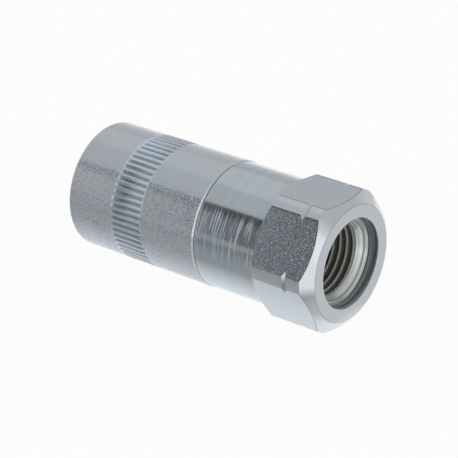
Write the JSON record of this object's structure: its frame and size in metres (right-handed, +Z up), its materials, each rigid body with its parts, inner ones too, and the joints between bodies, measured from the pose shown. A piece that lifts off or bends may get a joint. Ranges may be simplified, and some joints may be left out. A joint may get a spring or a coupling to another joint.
{
  "type": "grease coupler",
  "caption": "Hydraulic grease coupler: hexagon body with a threaded inlet and check valve, knurled screw-on sleeve, and sprung jaws that grip a grease nipple.",
  "frame": {"origin": "on the coupler's axis, midway between the inlet face and the nose, which is the centre of its bounding box", "axes": "+X along the axis and out of the threaded inlet, so the nose points to -X; +Z up, out of one hexagon flat, with the opposite flat down; +Y out of a hexagon corner"},
  "size_m": [0.035, 0.0166, 0.015],
  "materials": {
    "zinc_hexagon": "bright zinc plate over turned steel, fine turning lines, speckled on the flats",
    "zinc_sleeve": "dull zinc plate with a fine grain over turned steel",
    "jaw_steel": "hardened steel, dark grey, ground cone and sawn sides",
    "piston_steel": "turned steel, oiled",
    "seal_rubber": "black nitrile rubber, satin",
    "spring_wire": "drawn spring wire",
    "ball_steel": "polished bearing steel"
  },
  "bodies": {
    "root": {"body": "zinc_hexagon", "spring_seat": "piston_steel", "main_spring": "spring_wire", "check_spring": "spring_wire"},
    "sleeve": {"jaw_sleeve": "zinc_sleeve"},
    "piston": {"piston": "piston_steel", "mouth_seal": "seal_rubber", "piston_o_ring": "seal_rubber"},
    "ball": {"check_ball": "ball_steel"},
    "jaw_1": {"jaw_1": "jaw_steel"},
    "jaw_2": {"jaw_2": "jaw_steel"},
    "jaw_3": {"jaw_3": "jaw_steel"},
    "jaw_4": {"jaw_4": "jaw_steel"}
  },
  "joints": [
    {"name": "sleeve_unscrew", "type": "slide", "parent": "root", "child": "sleeve", "axis": [-1, 0, 0], "range_m": [0, 0.0185]},
    {"name": "piston_slide", "type": "slide", "parent": "root", "child": "piston", "axis": [1, 0, 0], "range_m": [0, 0.002], "stiffness_N_per_m": 1900, "springref_m": -0.002, "deforming": ["main_spring"]},
    {"name": "ball_lift", "type": "slide", "parent": "root", "child": "ball", "axis": [-1, 0, 0], "range_m": [0, 0.001], "stiffness_N_per_m": 430, "springref_m": -0.0005, "deforming": ["check_spring"]},
    {"name": "jaw_1_spread", "type": "slide", "parent": "piston", "child": "jaw_1", "axis": [0, 0, 1], "range_m": [0, 0.00082]},
    {"name": "jaw_2_spread", "type": "slide", "parent": "piston", "child": "jaw_2", "axis": [0, -1, 0], "range_m": [0, 0.00082]},
    {"name": "jaw_3_spread", "type": "slide", "parent": "piston", "child": "jaw_3", "axis": [0, 0, -1], "range_m": [0, 0.00082]},
    {"name": "jaw_4_spread", "type": "slide", "parent": "piston", "child": "jaw_4", "axis": [0, 1, 0], "range_m": [0, 0.00082]}
  ],
  "couplings": [
    {"joint": "jaw_1_spread", "follows": "piston_slide", "ratio": 0.4},
    {"joint": "jaw_2_spread", "follows": "piston_slide", "ratio": 0.4},
    {"joint": "jaw_3_spread", "follows": "piston_slide", "ratio": 0.4},
    {"joint": "jaw_4_spread", "follows": "piston_slide", "ratio": 0.4}
  ]
}
